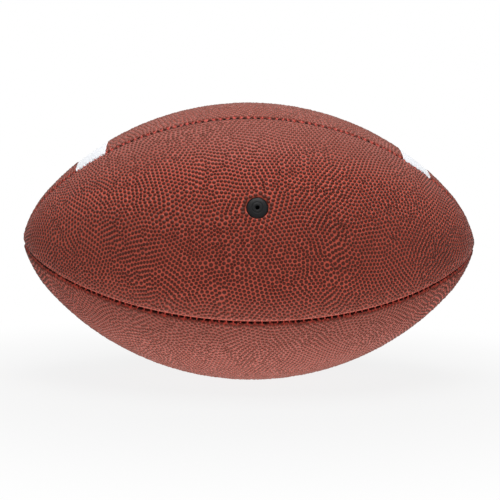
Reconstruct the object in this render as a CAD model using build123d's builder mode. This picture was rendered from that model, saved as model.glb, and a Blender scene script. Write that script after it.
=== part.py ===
from build123d import *
import math
import os

os.makedirs("parts", exist_ok=True)

# Ball: the long axis lies along X, the centre is the origin and Z is up
ball_length = 282.0
ball_diameter = 170.2
knee_length_share = 0.8696  # of the half length, where the crown meets an end arc
knee_height_share = 0.3788  # of the radius, at the same place
panel_tilt = 15.0  # degrees the valve panel is turned up from the front

# Layers of the wall, from outside to inside
cover_thickness = 2.0
lining_thickness = 0.7
patch_thickness = 0.6
bladder_wall = 0.8
layer_gap = 0.1

# Seams: the panel edges are rolled over, turned in and stitched together
seam_gap = 0.4
edge_roll = 1.0
tip_hole_share = 2.5  # of the edge roll, where the four panel points meet
hem_depth = 5.0
hem_thickness = 1.5
hem_end_gap = 16.5  # from the end of the crown
stitch_pitch = 4.0
stitch_inset = 2.0  # below the back of the cover
stitch_end_gap = 3.0
span_stitches = 2  # stitches on each length of a thread run
thread_diameter = 0.9
stitch_diameter = 0.7
thread_clearance = 0.1
hem_clearance = 0.3

# Stripes: thin film on the two panels beside the laces
stripe_end_gap = 21.8  # from the end of the crown
stripe_width = 22.0
stripe_thickness = 0.3
stripe_lift = 0.05
stripe_edge = 2.0

# Lace: crossbars over two long strands, through holes in both panels
lace_bar_count = 8
lace_pitch = 13.5
lace_bar_width = 6.0
lace_bar_thickness = 2.0
lace_bar_round = 0.7
lace_hole_offset = 11.0  # from the seam to the middle of a hole
lace_leg_diameter = 4.0
lace_clearance = 0.2
lace_leg_rise = 0.8
strand_width = 3.6
strand_thickness = 1.6
strand_lift = 0.1
strand_offset = 2.1
strand_bite = 0.15
strand_end_run = 12.75  # past the outer crossbars
strand_leg_diameter = 3.2
end_hole_clearance = 0.5
run_thickness = 1.4
run_clearance = 0.35

# Lace facings and tongue, inside the lace opening
opening_end_run = 10.0  # past the ends of the strands
facing_end_run = 7.0
facing_cover = 10.0  # past the lace holes
facing_edge = 1.0
facing_thickness = 1.0
tongue_end_run = 9.0
tongue_cover = 9.0
tongue_thickness = 1.0
pocket_margin = 2.0

# Valve in the middle of the valve panel
boot_radius = 6.4
boot_clearance = 0.15
boot_dome = 0.6
boot_rim_drop = 0.35
boot_flange_radius = 14.0
boot_flange_thickness = 1.2
boot_nozzle_wall = 1.95
boot_nozzle_floor = 1.8
boot_passage_radius = 1.5
patch_radius = 18.0
core_radius = 3.0
core_clearance = 0.05
core_seat_gap = 0.3
core_seat_depth = 12.2
core_top_drop = 0.1
needle_radius = 1.15
needle_end_wall = 2.0

# Angles round the long axis, counted from the rear over the top
half_turn = 180.0
quarter_turn = 90.0
full_turn = 360.0
valve_angle = half_turn - panel_tilt
upper_angle = valve_angle - quarter_turn
rear_angle = upper_angle - quarter_turn
lower_angle = valve_angle + quarter_turn
upper_seam = (valve_angle + upper_angle) / 2
lace_seam = (upper_angle + rear_angle) / 2
rear_seam = lace_seam - quarter_turn
front_seam = (valve_angle + lower_angle) / 2

# Side outline: a crown arc with a tangent end arc to each tip
half_length = ball_length / 2
ball_radius = ball_diameter / 2
knee_x = half_length * knee_length_share
knee_r = ball_radius * knee_height_share
crown_drop = ball_radius - knee_r
crown_radius = (knee_x * knee_x + crown_drop * crown_drop) / (2 * crown_drop)
crown_height = ball_radius - crown_radius
crown_sine = knee_x / crown_radius
crown_cosine = (crown_radius - crown_drop) / crown_radius
crown_turn = math.atan2(crown_sine, crown_cosine)
crown_angle = math.degrees(crown_turn)
crown_length = crown_radius * crown_turn
tip_run = half_length - knee_x
tip_square = tip_run * tip_run + knee_r * knee_r
end_radius = tip_square / (2 * (knee_r * crown_cosine - tip_run * crown_sine))
end_x = knee_x - end_radius * crown_sine
end_r = knee_r - end_radius * crown_cosine

# Depths of the layers below the outer surface
lining_depth = cover_thickness + layer_gap
lining_back = lining_depth + lining_thickness
patch_depth = lining_back + layer_gap
patch_back = patch_depth + patch_thickness
bladder_depth = patch_back + layer_gap
bladder_back = bladder_depth + bladder_wall
flange_depth = bladder_back + layer_gap
flange_back = flange_depth + boot_flange_thickness
facing_depth = lining_back + layer_gap
facing_back = facing_depth + facing_thickness
run_depth = facing_back + run_clearance
run_back = run_depth + run_thickness
tongue_depth = run_back + layer_gap
tongue_back = tongue_depth + tongue_thickness
pocket_depth = tongue_back + layer_gap
hem_back = cover_thickness + hem_depth
hem_front = cover_thickness / 2
stitch_depth = cover_thickness + stitch_inset
channel_depth = hem_back + hem_clearance
gap_angle = math.degrees(seam_gap / 2 / ball_radius)
panel_arc = quarter_turn - 2 * gap_angle
rail_shift = seam_gap / 2 + hem_thickness + thread_clearance + thread_diameter / 2
channel_half = rail_shift + thread_diameter / 2 + hem_clearance
lining_edge = seam_gap / 2 + hem_thickness + hem_clearance
radius_share = 0.002

# Lengths along the crown, each way from the middle
hem_reach = crown_length - hem_end_gap
stripe_end = crown_length - stripe_end_gap
stripe_start = stripe_end - stripe_width
strand_reach = lace_pitch * (lace_bar_count - 1) / 2 + strand_end_run
opening_reach = strand_reach + opening_end_run
facing_reach = strand_reach + facing_end_run
tongue_reach = strand_reach + tongue_end_run
facing_width = lace_hole_offset + facing_cover
tongue_half_width = lace_hole_offset + tongue_cover
tip_hole_radius = tip_hole_share * edge_roll


def meridian_plane(angle):
    # Plane through the long axis; its second direction points out of the ball
    turn = math.radians(angle)
    across = (0, -math.sin(turn), math.cos(turn))
    return Plane(origin=(0, 0, 0), x_dir=(1, 0, 0), z_dir=across)


def crown_point(along, depth):
    # Point below the crown, by the length along the surface from the middle
    lean = along / crown_radius
    radius = crown_radius - depth
    return (radius * math.sin(lean), crown_height + radius * math.cos(lean))


def skin_plane(along, angle, depth):
    # Plane that lies flat in the wall, facing outwards
    lean = along / crown_radius
    turn = math.radians(angle)
    place = crown_point(along, depth)
    spot = (place[0], place[1] * math.cos(turn), place[1] * math.sin(turn))
    outward = (math.sin(lean), math.cos(lean) * math.cos(turn), math.cos(lean) * math.sin(turn))
    forward = (math.cos(lean), -math.sin(lean) * math.cos(turn), -math.sin(lean) * math.sin(turn))
    return Plane(origin=spot, x_dir=forward, z_dir=outward)


def bar_plane(along):
    # Plane across the lace seam in which a crossbar is drawn
    flat = skin_plane(along, lace_seam, 0)
    return Plane(origin=flat.origin, x_dir=-flat.y_dir, z_dir=-flat.x_dir)


def layer_profile(angle, front, back):
    # Half section of one wall layer from tip to tip
    with BuildSketch(meridian_plane(angle)) as profile:
        for depth, mode in ((front, Mode.ADD), (back, Mode.SUBTRACT)):
            reach = end_radius - depth
            tip = math.sqrt(reach * reach - end_r * end_r)
            tip_turn = math.degrees(math.atan2(-end_r, tip))
            end_turn = quarter_turn - crown_angle - tip_turn
            left_turn = quarter_turn + crown_angle
            with BuildLine():
                right = CenterArc((end_x, end_r), reach, tip_turn, end_turn)
                CenterArc((0, crown_height), crown_radius - depth, quarter_turn - crown_angle, 2 * crown_angle)
                left = CenterArc((-end_x, end_r), reach, left_turn, end_turn)
                Line(left @ 1, right @ 0)
            make_face(mode=mode)
        Rectangle(2 * ball_length, 2 * tip_hole_radius, mode=Mode.SUBTRACT)
    return profile.sketch


def solid_profile(angle, depth):
    # Half section of everything inside one depth, with a small flat at each tip
    reach = end_radius - depth
    tip_rise = tip_hole_radius - end_r
    tip = math.sqrt(reach * reach - tip_rise * tip_rise)
    tip_turn = math.degrees(math.atan2(tip_rise, tip))
    end_turn = quarter_turn - crown_angle - tip_turn
    with BuildSketch(meridian_plane(angle)) as profile:
        with BuildLine():
            right = CenterArc((end_x, end_r), reach, tip_turn, end_turn)
            CenterArc((0, crown_height), crown_radius - depth, quarter_turn - crown_angle, 2 * crown_angle)
            left = CenterArc((-end_x, end_r), reach, quarter_turn + crown_angle, end_turn)
            Polyline(left @ 1, (-end_x - tip, 0), (end_x + tip, 0), right @ 0)
        make_face()
    return profile.sketch


def crown_strip(plane, front, back, start, end):
    # Band below the crown between two lengths from the middle
    with BuildSketch(plane) as strip:
        with BuildLine():
            turn = quarter_turn - math.degrees(end / crown_radius)
            size = math.degrees((end - start) / crown_radius)
            outer = CenterArc((0, crown_height), crown_radius - front, turn, size)
            inner = CenterArc((0, crown_height), crown_radius - back, turn, size)
            Line(outer @ 0, inner @ 0)
            Line(outer @ 1, inner @ 1)
        make_face()
    return strip.sketch


def stitch_lengths(start, end):
    # Lengths from the middle to the stitches along one seam
    spans = int((end - start - 2 * stitch_end_gap) / stitch_pitch / span_stitches)
    count = spans * span_stitches
    first = (start + end - (count - 1) * stitch_pitch) / 2
    return [first + step * stitch_pitch for step in range(count)]


def stitch_places(start, end):
    # Middles of the stitches in the plane of the seam
    return [crown_point(along, stitch_depth) for along in stitch_lengths(start, end)]


def hem_strip(plane, start, end):
    # Turned-in panel edge with its stitch holes
    with BuildSketch(plane) as hem:
        add(crown_strip(Plane.XY, hem_front, hem_back, start, end))
        with Locations(*stitch_places(start, end)):
            Circle(stitch_diameter / 2 + thread_clearance, mode=Mode.SUBTRACT)
    return hem.sketch


def thread_sections(angle, start, end):
    # Sections of the thread at the start of each length, on both sides of the hems
    sections = []
    for along in stitch_lengths(start, end)[::span_stitches]:
        flat = skin_plane(along - stitch_pitch / 2, angle, stitch_depth)
        for side in (-rail_shift, rail_shift):
            with BuildSketch(Plane(origin=flat.origin + flat.y_dir * side, z_dir=flat.x_dir)) as section:
                Circle(thread_diameter / 2)
            sections.append(section.sketch)
    return sections


def crown_axis(angle):
    # Axis on which the crown of one seam is turned
    turn = math.radians(angle)
    middle = (0, crown_height * math.cos(turn), crown_height * math.sin(turn))
    return Axis(origin=middle, direction=-meridian_plane(angle).z_dir)


def stitch_sketch(angle, start, end):
    # Stitches that pass through both hems
    with BuildSketch(meridian_plane(angle)) as stitches:
        with Locations(*stitch_places(start, end)):
            Circle(stitch_diameter / 2)
    return stitches.sketch


def rolled_edges(part):
    # Long outer edges of a panel, beside its seams
    found = ShapeList()
    for edge in part.edges().filter_by(GeomType.CIRCLE):
        for radius in (crown_radius, end_radius):
            if abs(edge.radius - radius) < radius * radius_share:
                found.append(edge)
    return found


# Places of the lace holes
lace_steps = [(step - (lace_bar_count - 1) / 2) * lace_pitch for step in range(lace_bar_count)]
hole_turn = math.degrees(lace_hole_offset / ball_radius)
upper_lace_holes = [skin_plane(along, lace_seam + hole_turn, 0) for along in lace_steps]
rear_lace_holes = [skin_plane(along, lace_seam - hole_turn, 0) for along in lace_steps]
end_holes = [skin_plane(along, lace_seam, 0) for along in (-strand_reach, strand_reach)]
lace_hole_radius = lace_leg_diameter / 2 + lace_clearance
end_hole_radius = strand_offset + strand_leg_diameter / 2 + end_hole_clearance
hole_length = 2 * hem_back

# Valve frame: its own Z runs out of the ball along the valve
valve_plane = skin_plane(0, valve_angle, 0)
valve_axis = Axis(origin=(0, 0, 0), direction=valve_plane.z_dir)
valve_hole_radius = boot_radius + boot_clearance

# Cover panels
with BuildPart() as panel_valve:
    revolve(layer_profile(valve_angle - panel_arc / 2, 0, cover_thickness), Axis.X, panel_arc)
    fillet(rolled_edges(panel_valve.part), edge_roll)
    extrude(hem_strip(meridian_plane(upper_seam + gap_angle), -hem_reach, hem_reach), hem_thickness)
    extrude(hem_strip(meridian_plane(front_seam - gap_angle), -hem_reach, hem_reach), -hem_thickness)
    with Locations(valve_plane):
        Cylinder(valve_hole_radius, hole_length, mode=Mode.SUBTRACT)
panel_valve.part.label = "panel_valve"
export_step(panel_valve.part, "parts/panel_valve.step")

with BuildPart() as panel_upper:
    revolve(layer_profile(upper_angle - panel_arc / 2, 0, cover_thickness), Axis.X, panel_arc)
    fillet(rolled_edges(panel_upper.part), edge_roll)
    extrude(hem_strip(meridian_plane(upper_seam - gap_angle), -hem_reach, hem_reach), -hem_thickness)
    extrude(hem_strip(meridian_plane(lace_seam + gap_angle), -hem_reach, -opening_reach), hem_thickness)
    extrude(hem_strip(meridian_plane(lace_seam + gap_angle), opening_reach, hem_reach), hem_thickness)
    with Locations(*upper_lace_holes):
        Cylinder(lace_hole_radius, hole_length, mode=Mode.SUBTRACT)
    with Locations(*end_holes):
        Cylinder(end_hole_radius, hole_length, mode=Mode.SUBTRACT)
panel_upper.part.label = "panel_upper"
export_step(panel_upper.part, "parts/panel_upper.step")

with BuildPart() as panel_rear:
    revolve(layer_profile(rear_angle - panel_arc / 2, 0, cover_thickness), Axis.X, panel_arc)
    fillet(rolled_edges(panel_rear.part), edge_roll)
    extrude(hem_strip(meridian_plane(rear_seam + gap_angle), -hem_reach, hem_reach), hem_thickness)
    extrude(hem_strip(meridian_plane(lace_seam - gap_angle), -hem_reach, -opening_reach), -hem_thickness)
    extrude(hem_strip(meridian_plane(lace_seam - gap_angle), opening_reach, hem_reach), -hem_thickness)
    with Locations(*rear_lace_holes):
        Cylinder(lace_hole_radius, hole_length, mode=Mode.SUBTRACT)
    with Locations(*end_holes):
        Cylinder(end_hole_radius, hole_length, mode=Mode.SUBTRACT)
panel_rear.part.label = "panel_rear"
export_step(panel_rear.part, "parts/panel_rear.step")

with BuildPart() as panel_lower:
    revolve(layer_profile(lower_angle - panel_arc / 2, 0, cover_thickness), Axis.X, panel_arc)
    fillet(rolled_edges(panel_lower.part), edge_roll)
    extrude(hem_strip(meridian_plane(front_seam + gap_angle), -hem_reach, hem_reach), hem_thickness)
    extrude(hem_strip(meridian_plane(rear_seam - gap_angle), -hem_reach, hem_reach), -hem_thickness)
panel_lower.part.label = "panel_lower"
export_step(panel_lower.part, "parts/panel_lower.step")

# Linings behind the panels, cut back from the hems
hem_zone = hem_reach + hem_clearance


def hem_slot(seam):
    # Space that the hems of one seam need
    return crown_strip(meridian_plane(seam), 0, hem_back, -hem_zone, hem_zone)


with BuildPart() as lining_valve:
    revolve(layer_profile(valve_angle - panel_arc / 2, lining_depth, lining_back), Axis.X, panel_arc)
    for seam in (upper_seam, front_seam):
        extrude(hem_slot(seam), lining_edge, both=True, mode=Mode.SUBTRACT)
    with Locations(valve_plane):
        Cylinder(valve_hole_radius, hole_length, mode=Mode.SUBTRACT)
lining_valve.part.label = "lining_valve"
export_step(lining_valve.part, "parts/lining_valve.step")

with BuildPart() as lining_upper:
    revolve(layer_profile(upper_angle - panel_arc / 2, lining_depth, lining_back), Axis.X, panel_arc)
    for seam in (upper_seam, lace_seam):
        extrude(hem_slot(seam), lining_edge, both=True, mode=Mode.SUBTRACT)
    with Locations(*upper_lace_holes):
        Cylinder(lace_hole_radius, hole_length, mode=Mode.SUBTRACT)
    with Locations(*end_holes):
        Cylinder(end_hole_radius, hole_length, mode=Mode.SUBTRACT)
lining_upper.part.label = "lining_upper"
export_step(lining_upper.part, "parts/lining_upper.step")

with BuildPart() as lining_rear:
    revolve(layer_profile(rear_angle - panel_arc / 2, lining_depth, lining_back), Axis.X, panel_arc)
    for seam in (lace_seam, rear_seam):
        extrude(hem_slot(seam), lining_edge, both=True, mode=Mode.SUBTRACT)
    with Locations(*rear_lace_holes):
        Cylinder(lace_hole_radius, hole_length, mode=Mode.SUBTRACT)
    with Locations(*end_holes):
        Cylinder(end_hole_radius, hole_length, mode=Mode.SUBTRACT)
lining_rear.part.label = "lining_rear"
export_step(lining_rear.part, "parts/lining_rear.step")

with BuildPart() as lining_lower:
    revolve(layer_profile(lower_angle - panel_arc / 2, lining_depth, lining_back), Axis.X, panel_arc)
    for seam in (front_seam, rear_seam):
        extrude(hem_slot(seam), lining_edge, both=True, mode=Mode.SUBTRACT)
lining_lower.part.label = "lining_lower"
export_step(lining_lower.part, "parts/lining_lower.step")

# Stripes
stripe_turn = math.degrees(stripe_edge / crown_point(stripe_end, 0)[1])
stripe_arc = quarter_turn - 2 * stripe_turn
stripe_front = -stripe_lift - stripe_thickness
upper_stripe_plane = meridian_plane(upper_angle - stripe_arc / 2)
rear_stripe_plane = meridian_plane(rear_angle - stripe_arc / 2)

with BuildPart() as stripe_upper_left:
    band = crown_strip(upper_stripe_plane, stripe_front, -stripe_lift, -stripe_end, -stripe_start)
    revolve(band, Axis.X, stripe_arc)
stripe_upper_left.part.label = "stripe_upper_left"
export_step(stripe_upper_left.part, "parts/stripe_upper_left.step")

with BuildPart() as stripe_upper_right:
    band = crown_strip(upper_stripe_plane, stripe_front, -stripe_lift, stripe_start, stripe_end)
    revolve(band, Axis.X, stripe_arc)
stripe_upper_right.part.label = "stripe_upper_right"
export_step(stripe_upper_right.part, "parts/stripe_upper_right.step")

with BuildPart() as stripe_rear_left:
    band = crown_strip(rear_stripe_plane, stripe_front, -stripe_lift, -stripe_end, -stripe_start)
    revolve(band, Axis.X, stripe_arc)
stripe_rear_left.part.label = "stripe_rear_left"
export_step(stripe_rear_left.part, "parts/stripe_rear_left.step")

with BuildPart() as stripe_rear_right:
    band = crown_strip(rear_stripe_plane, stripe_front, -stripe_lift, stripe_start, stripe_end)
    revolve(band, Axis.X, stripe_arc)
stripe_rear_right.part.label = "stripe_rear_right"
export_step(stripe_rear_right.part, "parts/stripe_rear_right.step")

# Seam threads: a run along each side of the hems, joined by the stitches
span_turn = math.degrees(span_stitches * stitch_pitch / crown_radius)

with BuildPart() as seam_thread_upper:
    runs = thread_sections(upper_seam, -hem_reach, hem_reach)
    revolve(runs, crown_axis(upper_seam), span_turn, clean=False)
    extrude(stitch_sketch(upper_seam, -hem_reach, hem_reach), rail_shift, both=True, clean=False)
seam_thread_upper.part.label = "seam_thread_upper"
export_step(seam_thread_upper.part, "parts/seam_thread_upper.step")

with BuildPart() as seam_thread_lower_front:
    runs = thread_sections(front_seam, -hem_reach, hem_reach)
    revolve(runs, crown_axis(front_seam), span_turn, clean=False)
    extrude(stitch_sketch(front_seam, -hem_reach, hem_reach), rail_shift, both=True, clean=False)
seam_thread_lower_front.part.label = "seam_thread_lower_front"
export_step(seam_thread_lower_front.part, "parts/seam_thread_lower_front.step")

with BuildPart() as seam_thread_lower_rear:
    runs = thread_sections(rear_seam, -hem_reach, hem_reach)
    revolve(runs, crown_axis(rear_seam), span_turn, clean=False)
    extrude(stitch_sketch(rear_seam, -hem_reach, hem_reach), rail_shift, both=True, clean=False)
seam_thread_lower_rear.part.label = "seam_thread_lower_rear"
export_step(seam_thread_lower_rear.part, "parts/seam_thread_lower_rear.step")

with BuildPart() as seam_thread_lace_left:
    runs = thread_sections(lace_seam, -hem_reach, -opening_reach)
    revolve(runs, crown_axis(lace_seam), span_turn, clean=False)
    extrude(stitch_sketch(lace_seam, -hem_reach, -opening_reach), rail_shift, both=True, clean=False)
seam_thread_lace_left.part.label = "seam_thread_lace_left"
export_step(seam_thread_lace_left.part, "parts/seam_thread_lace_left.step")

with BuildPart() as seam_thread_lace_right:
    runs = thread_sections(lace_seam, opening_reach, hem_reach)
    revolve(runs, crown_axis(lace_seam), span_turn, clean=False)
    extrude(stitch_sketch(lace_seam, opening_reach, hem_reach), rail_shift, both=True, clean=False)
seam_thread_lace_right.part.label = "seam_thread_lace_right"
export_step(seam_thread_lace_right.part, "parts/seam_thread_lace_right.step")

# Lace facings and tongue
facing_arc = math.degrees((facing_width - facing_edge) / ball_radius)
facing_turn = math.degrees(facing_edge / ball_radius)
tongue_turn = math.degrees(tongue_half_width / ball_radius)

with BuildPart() as lace_facing_upper:
    upper_facing_plane = meridian_plane(lace_seam + facing_turn)
    band = crown_strip(upper_facing_plane, facing_depth, facing_back, -facing_reach, facing_reach)
    revolve(band, Axis.X, facing_arc)
    with Locations(*upper_lace_holes):
        Cylinder(lace_hole_radius, hole_length, mode=Mode.SUBTRACT)
    with Locations(*end_holes):
        Cylinder(end_hole_radius, hole_length, mode=Mode.SUBTRACT)
lace_facing_upper.part.label = "lace_facing_upper"
export_step(lace_facing_upper.part, "parts/lace_facing_upper.step")

with BuildPart() as lace_facing_rear:
    rear_facing_plane = meridian_plane(lace_seam - facing_turn - facing_arc)
    band = crown_strip(rear_facing_plane, facing_depth, facing_back, -facing_reach, facing_reach)
    revolve(band, Axis.X, facing_arc)
    with Locations(*rear_lace_holes):
        Cylinder(lace_hole_radius, hole_length, mode=Mode.SUBTRACT)
    with Locations(*end_holes):
        Cylinder(end_hole_radius, hole_length, mode=Mode.SUBTRACT)
lace_facing_rear.part.label = "lace_facing_rear"
export_step(lace_facing_rear.part, "parts/lace_facing_rear.step")

with BuildPart() as lace_tongue:
    tongue_plane = meridian_plane(lace_seam - tongue_turn)
    band = crown_strip(tongue_plane, tongue_depth, tongue_back, -tongue_reach, tongue_reach)
    revolve(band, Axis.X, 2 * tongue_turn)
lace_tongue.part.label = "lace_tongue"
export_step(lace_tongue.part, "parts/lace_tongue.step")

# Lace: crossbars arch over the strands and go down through the holes
bar_low = strand_lift + strand_thickness - strand_bite
bar_high = bar_low + lace_bar_thickness
bar_half = lace_hole_offset + lace_leg_diameter / 2
bar_root = strand_lift - lace_hole_offset * lace_hole_offset / ball_diameter
leg_length = lace_leg_rise + run_back
run_middle = (run_depth + run_back) / 2

with BuildPart() as lace:
    for along in lace_steps:
        with BuildSketch(bar_plane(along)):
            with BuildLine():
                over = ThreePointArc((-bar_half, bar_root), (0, bar_high), (bar_half, bar_root))
                under = ThreePointArc(
                    (-bar_half + lace_bar_thickness, bar_root),
                    (0, bar_low),
                    (bar_half - lace_bar_thickness, bar_root),
                )
                Line(over @ 0, under @ 0)
                Line(over @ 1, under @ 1)
            make_face()
        extrude(amount=lace_bar_width / 2, both=True)
    tops = [edge for edge in lace.edges().filter_by(GeomType.CIRCLE) if edge.length > 2 * bar_half]
    fillet(tops, lace_bar_round)
    for side in (-strand_offset - strand_width / 2, strand_offset - strand_width / 2):
        strand_plane = meridian_plane(lace_seam).offset(side)
        strand_top = -strand_lift - strand_thickness
        strand = crown_strip(strand_plane, strand_top, -strand_lift, -strand_reach, strand_reach)
        extrude(strand, strand_width)
    with Locations(*upper_lace_holes, *rear_lace_holes):
        with Locations((0, 0, lace_leg_rise)):
            Cylinder(lace_leg_diameter / 2, leg_length, align=(Align.CENTER, Align.CENTER, Align.MAX))
    for step in range(lace_bar_count - 1):
        middle = (lace_steps[step] + lace_steps[step + 1]) / 2
        side = hole_turn if step % 2 else -hole_turn
        with Locations(skin_plane(middle, lace_seam + side, run_middle)):
            Box(lace_pitch, lace_leg_diameter, run_thickness)
    for end in (-strand_reach, strand_reach):
        with Locations(skin_plane(end, lace_seam, 0)):
            with Locations((0, -strand_offset, strand_lift), (0, strand_offset, strand_lift)):
                Cylinder(
                    strand_leg_diameter / 2,
                    strand_lift + run_back,
                    align=(Align.CENTER, Align.CENTER, Align.MAX),
                )
        with Locations(skin_plane(end, lace_seam, run_middle)):
            Box(strand_leg_diameter, 2 * strand_offset, run_thickness)
lace.part.label = "lace"
export_step(lace.part, "parts/lace.step")

# Bladder: fills the linings and leaves channels for the hems and a pocket for the lace
pocket_reach = tongue_reach + pocket_margin
pocket_turn = math.degrees((tongue_half_width + pocket_margin) / ball_radius)
wall_turn = math.degrees(bladder_wall / ball_radius)
channel_reach = hem_reach + pocket_margin

with BuildPart() as bladder_space:
    revolve(solid_profile(valve_angle, bladder_back), Axis.X, full_turn)
    for seam in (upper_seam, lace_seam, rear_seam, front_seam):
        channel = crown_strip(
            meridian_plane(seam),
            -cover_thickness,
            channel_depth + bladder_wall,
            -channel_reach - bladder_wall,
            channel_reach + bladder_wall,
        )
        extrude(channel, channel_half + bladder_wall, both=True, mode=Mode.SUBTRACT)
    pocket = crown_strip(
        meridian_plane(lace_seam - pocket_turn - wall_turn),
        -cover_thickness,
        pocket_depth + bladder_wall,
        -pocket_reach - bladder_wall,
        pocket_reach + bladder_wall,
    )
    revolve(pocket, Axis.X, 2 * (pocket_turn + wall_turn), mode=Mode.SUBTRACT)

with BuildPart() as bladder:
    revolve(solid_profile(valve_angle, bladder_depth), Axis.X, full_turn)
    for seam in (upper_seam, lace_seam, rear_seam, front_seam):
        channel = crown_strip(
            meridian_plane(seam), -cover_thickness, channel_depth, -channel_reach, channel_reach
        )
        extrude(channel, channel_half, both=True, mode=Mode.SUBTRACT)
    pocket = crown_strip(
        meridian_plane(lace_seam - pocket_turn), -cover_thickness, pocket_depth, -pocket_reach, pocket_reach
    )
    revolve(pocket, Axis.X, 2 * pocket_turn, mode=Mode.SUBTRACT)
    add(bladder_space.part, mode=Mode.SUBTRACT)
    with Locations(valve_plane):
        Cylinder(valve_hole_radius, hole_length, mode=Mode.SUBTRACT)
bladder.part.label = "bladder"
export_step(bladder.part, "parts/bladder.step")

# Valve: patch, rubber boot and removable core
patch_turn = math.degrees(patch_radius / ball_radius)
flange_turn = math.degrees(boot_flange_radius / ball_radius)
spread_share = 1.3

with BuildPart() as valve_patch:
    patch_plane = meridian_plane(valve_angle - spread_share * patch_turn)
    patch_side = spread_share * patch_radius
    patch_strip = crown_strip(patch_plane, patch_depth, patch_back, -patch_side, patch_side)
    revolve(patch_strip, Axis.X, 2 * spread_share * patch_turn)
    with Locations(valve_plane):
        Cylinder(patch_radius, hole_length, mode=Mode.INTERSECT)
        Cylinder(valve_hole_radius, hole_length, mode=Mode.SUBTRACT)
valve_patch.part.label = "valve_patch"
export_step(valve_patch.part, "parts/valve_patch.step")

boot_top = ball_radius + boot_dome
boot_rim = ball_radius - boot_rim_drop
core_seat = ball_radius - core_seat_depth
nozzle_end = core_seat - boot_nozzle_floor
dome_rise = boot_dome + boot_rim_drop
dome_radius = (boot_radius * boot_radius + dome_rise * dome_rise) / (2 * dome_rise)
bore_radius = core_radius + core_clearance
boot_nozzle_radius = bore_radius + boot_nozzle_wall
core_foot = core_seat + core_seat_gap
core_dome_top = boot_top - core_top_drop

with BuildPart() as valve_boot:
    flange_plane = meridian_plane(valve_angle - spread_share * flange_turn)
    flange_side = spread_share * boot_flange_radius
    flange_strip = crown_strip(flange_plane, flange_depth, flange_back, -flange_side, flange_side)
    revolve(flange_strip, Axis.X, 2 * spread_share * flange_turn)
    with Locations(valve_plane):
        Cylinder(boot_flange_radius, 2 * hole_length, mode=Mode.INTERSECT)
    with BuildSketch(meridian_plane(valve_angle)) as boot_profile:
        with BuildLine():
            dome = RadiusArc((0, boot_top), (boot_radius, boot_rim), dome_radius)
            Polyline(
                dome @ 1,
                (boot_radius, ball_radius - flange_back),
                (boot_nozzle_radius, ball_radius - flange_back),
                (boot_nozzle_radius, nozzle_end),
                (0, nozzle_end),
                (0, boot_top),
            )
        make_face()
    revolve(axis=valve_axis)
    with BuildSketch(meridian_plane(valve_angle)) as bore_profile:
        with BuildLine():
            Polyline(
                (0, boot_top),
                (bore_radius, boot_top),
                (bore_radius, core_seat),
                (boot_passage_radius, core_seat),
                (boot_passage_radius, nozzle_end),
                (0, nozzle_end),
                close=True,
            )
        make_face()
    revolve(axis=valve_axis, mode=Mode.SUBTRACT)
valve_boot.part.label = "valve_boot"
export_step(valve_boot.part, "parts/valve_boot.step")

core_edge = boot_top - dome_radius + math.sqrt(dome_radius * dome_radius - core_radius * core_radius)
needle_floor = core_foot + needle_end_wall

with BuildPart() as valve_core:
    with BuildSketch(meridian_plane(valve_angle)) as core_profile:
        with BuildLine():
            core_dome = RadiusArc((0, core_dome_top), (core_radius, core_edge - core_top_drop), dome_radius)
            Polyline(
                core_dome @ 1,
                (core_radius, core_foot),
                (0, core_foot),
                (0, core_dome_top),
            )
        make_face()
        with BuildLine():
            Polyline(
                (0, needle_floor),
                (needle_radius, needle_floor),
                (needle_radius, boot_top),
                (0, boot_top),
                close=True,
            )
        make_face(mode=Mode.SUBTRACT)
    revolve(axis=valve_axis)
valve_core.part.label = "valve_core"
export_step(valve_core.part, "parts/valve_core.step")
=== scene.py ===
import bmesh
import bpy
import math
import random
import numpy as np
from collections import namedtuple
from mathutils import Matrix, Vector, noise


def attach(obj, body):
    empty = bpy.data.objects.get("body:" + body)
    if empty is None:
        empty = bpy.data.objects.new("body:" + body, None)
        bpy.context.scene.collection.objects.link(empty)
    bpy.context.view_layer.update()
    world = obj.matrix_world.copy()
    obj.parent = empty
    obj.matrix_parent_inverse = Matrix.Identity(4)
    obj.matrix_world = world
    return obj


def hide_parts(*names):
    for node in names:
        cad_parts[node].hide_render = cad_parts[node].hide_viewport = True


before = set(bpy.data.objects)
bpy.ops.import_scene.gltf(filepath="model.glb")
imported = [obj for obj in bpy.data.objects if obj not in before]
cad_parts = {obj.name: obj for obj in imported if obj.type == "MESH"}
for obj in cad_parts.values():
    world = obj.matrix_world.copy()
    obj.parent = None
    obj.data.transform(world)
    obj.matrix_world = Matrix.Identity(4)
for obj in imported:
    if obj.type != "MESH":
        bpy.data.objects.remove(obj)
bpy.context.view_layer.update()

MM = 0.001

# Ball outline: a crown arc and a tangent end arc to each tip (metres)
HALF_LENGTH = 0.141
BALL_RADIUS = 0.0851
CROWN_RADIUS = 0.1686
CROWN_TURN = math.radians(46.65)
CROWN_HEIGHT = BALL_RADIUS - CROWN_RADIUS
KNEE_X = CROWN_RADIUS * math.sin(CROWN_TURN)
KNEE_R = CROWN_HEIGHT + CROWN_RADIUS * math.cos(CROWN_TURN)
TIP_RUN = HALF_LENGTH - KNEE_X
END_LEAN = KNEE_R * math.cos(CROWN_TURN) - TIP_RUN * math.sin(CROWN_TURN)
END_RADIUS = (TIP_RUN ** 2 + KNEE_R ** 2) / (2 * END_LEAN)
END_X = KNEE_X - END_RADIUS * math.sin(CROWN_TURN)
END_R = KNEE_R - END_RADIUS * math.cos(CROWN_TURN)
KNEE = CROWN_RADIUS * CROWN_TURN
TIP = KNEE + END_RADIUS * (math.acos(-END_R / END_RADIUS) - CROWN_TURN)

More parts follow.
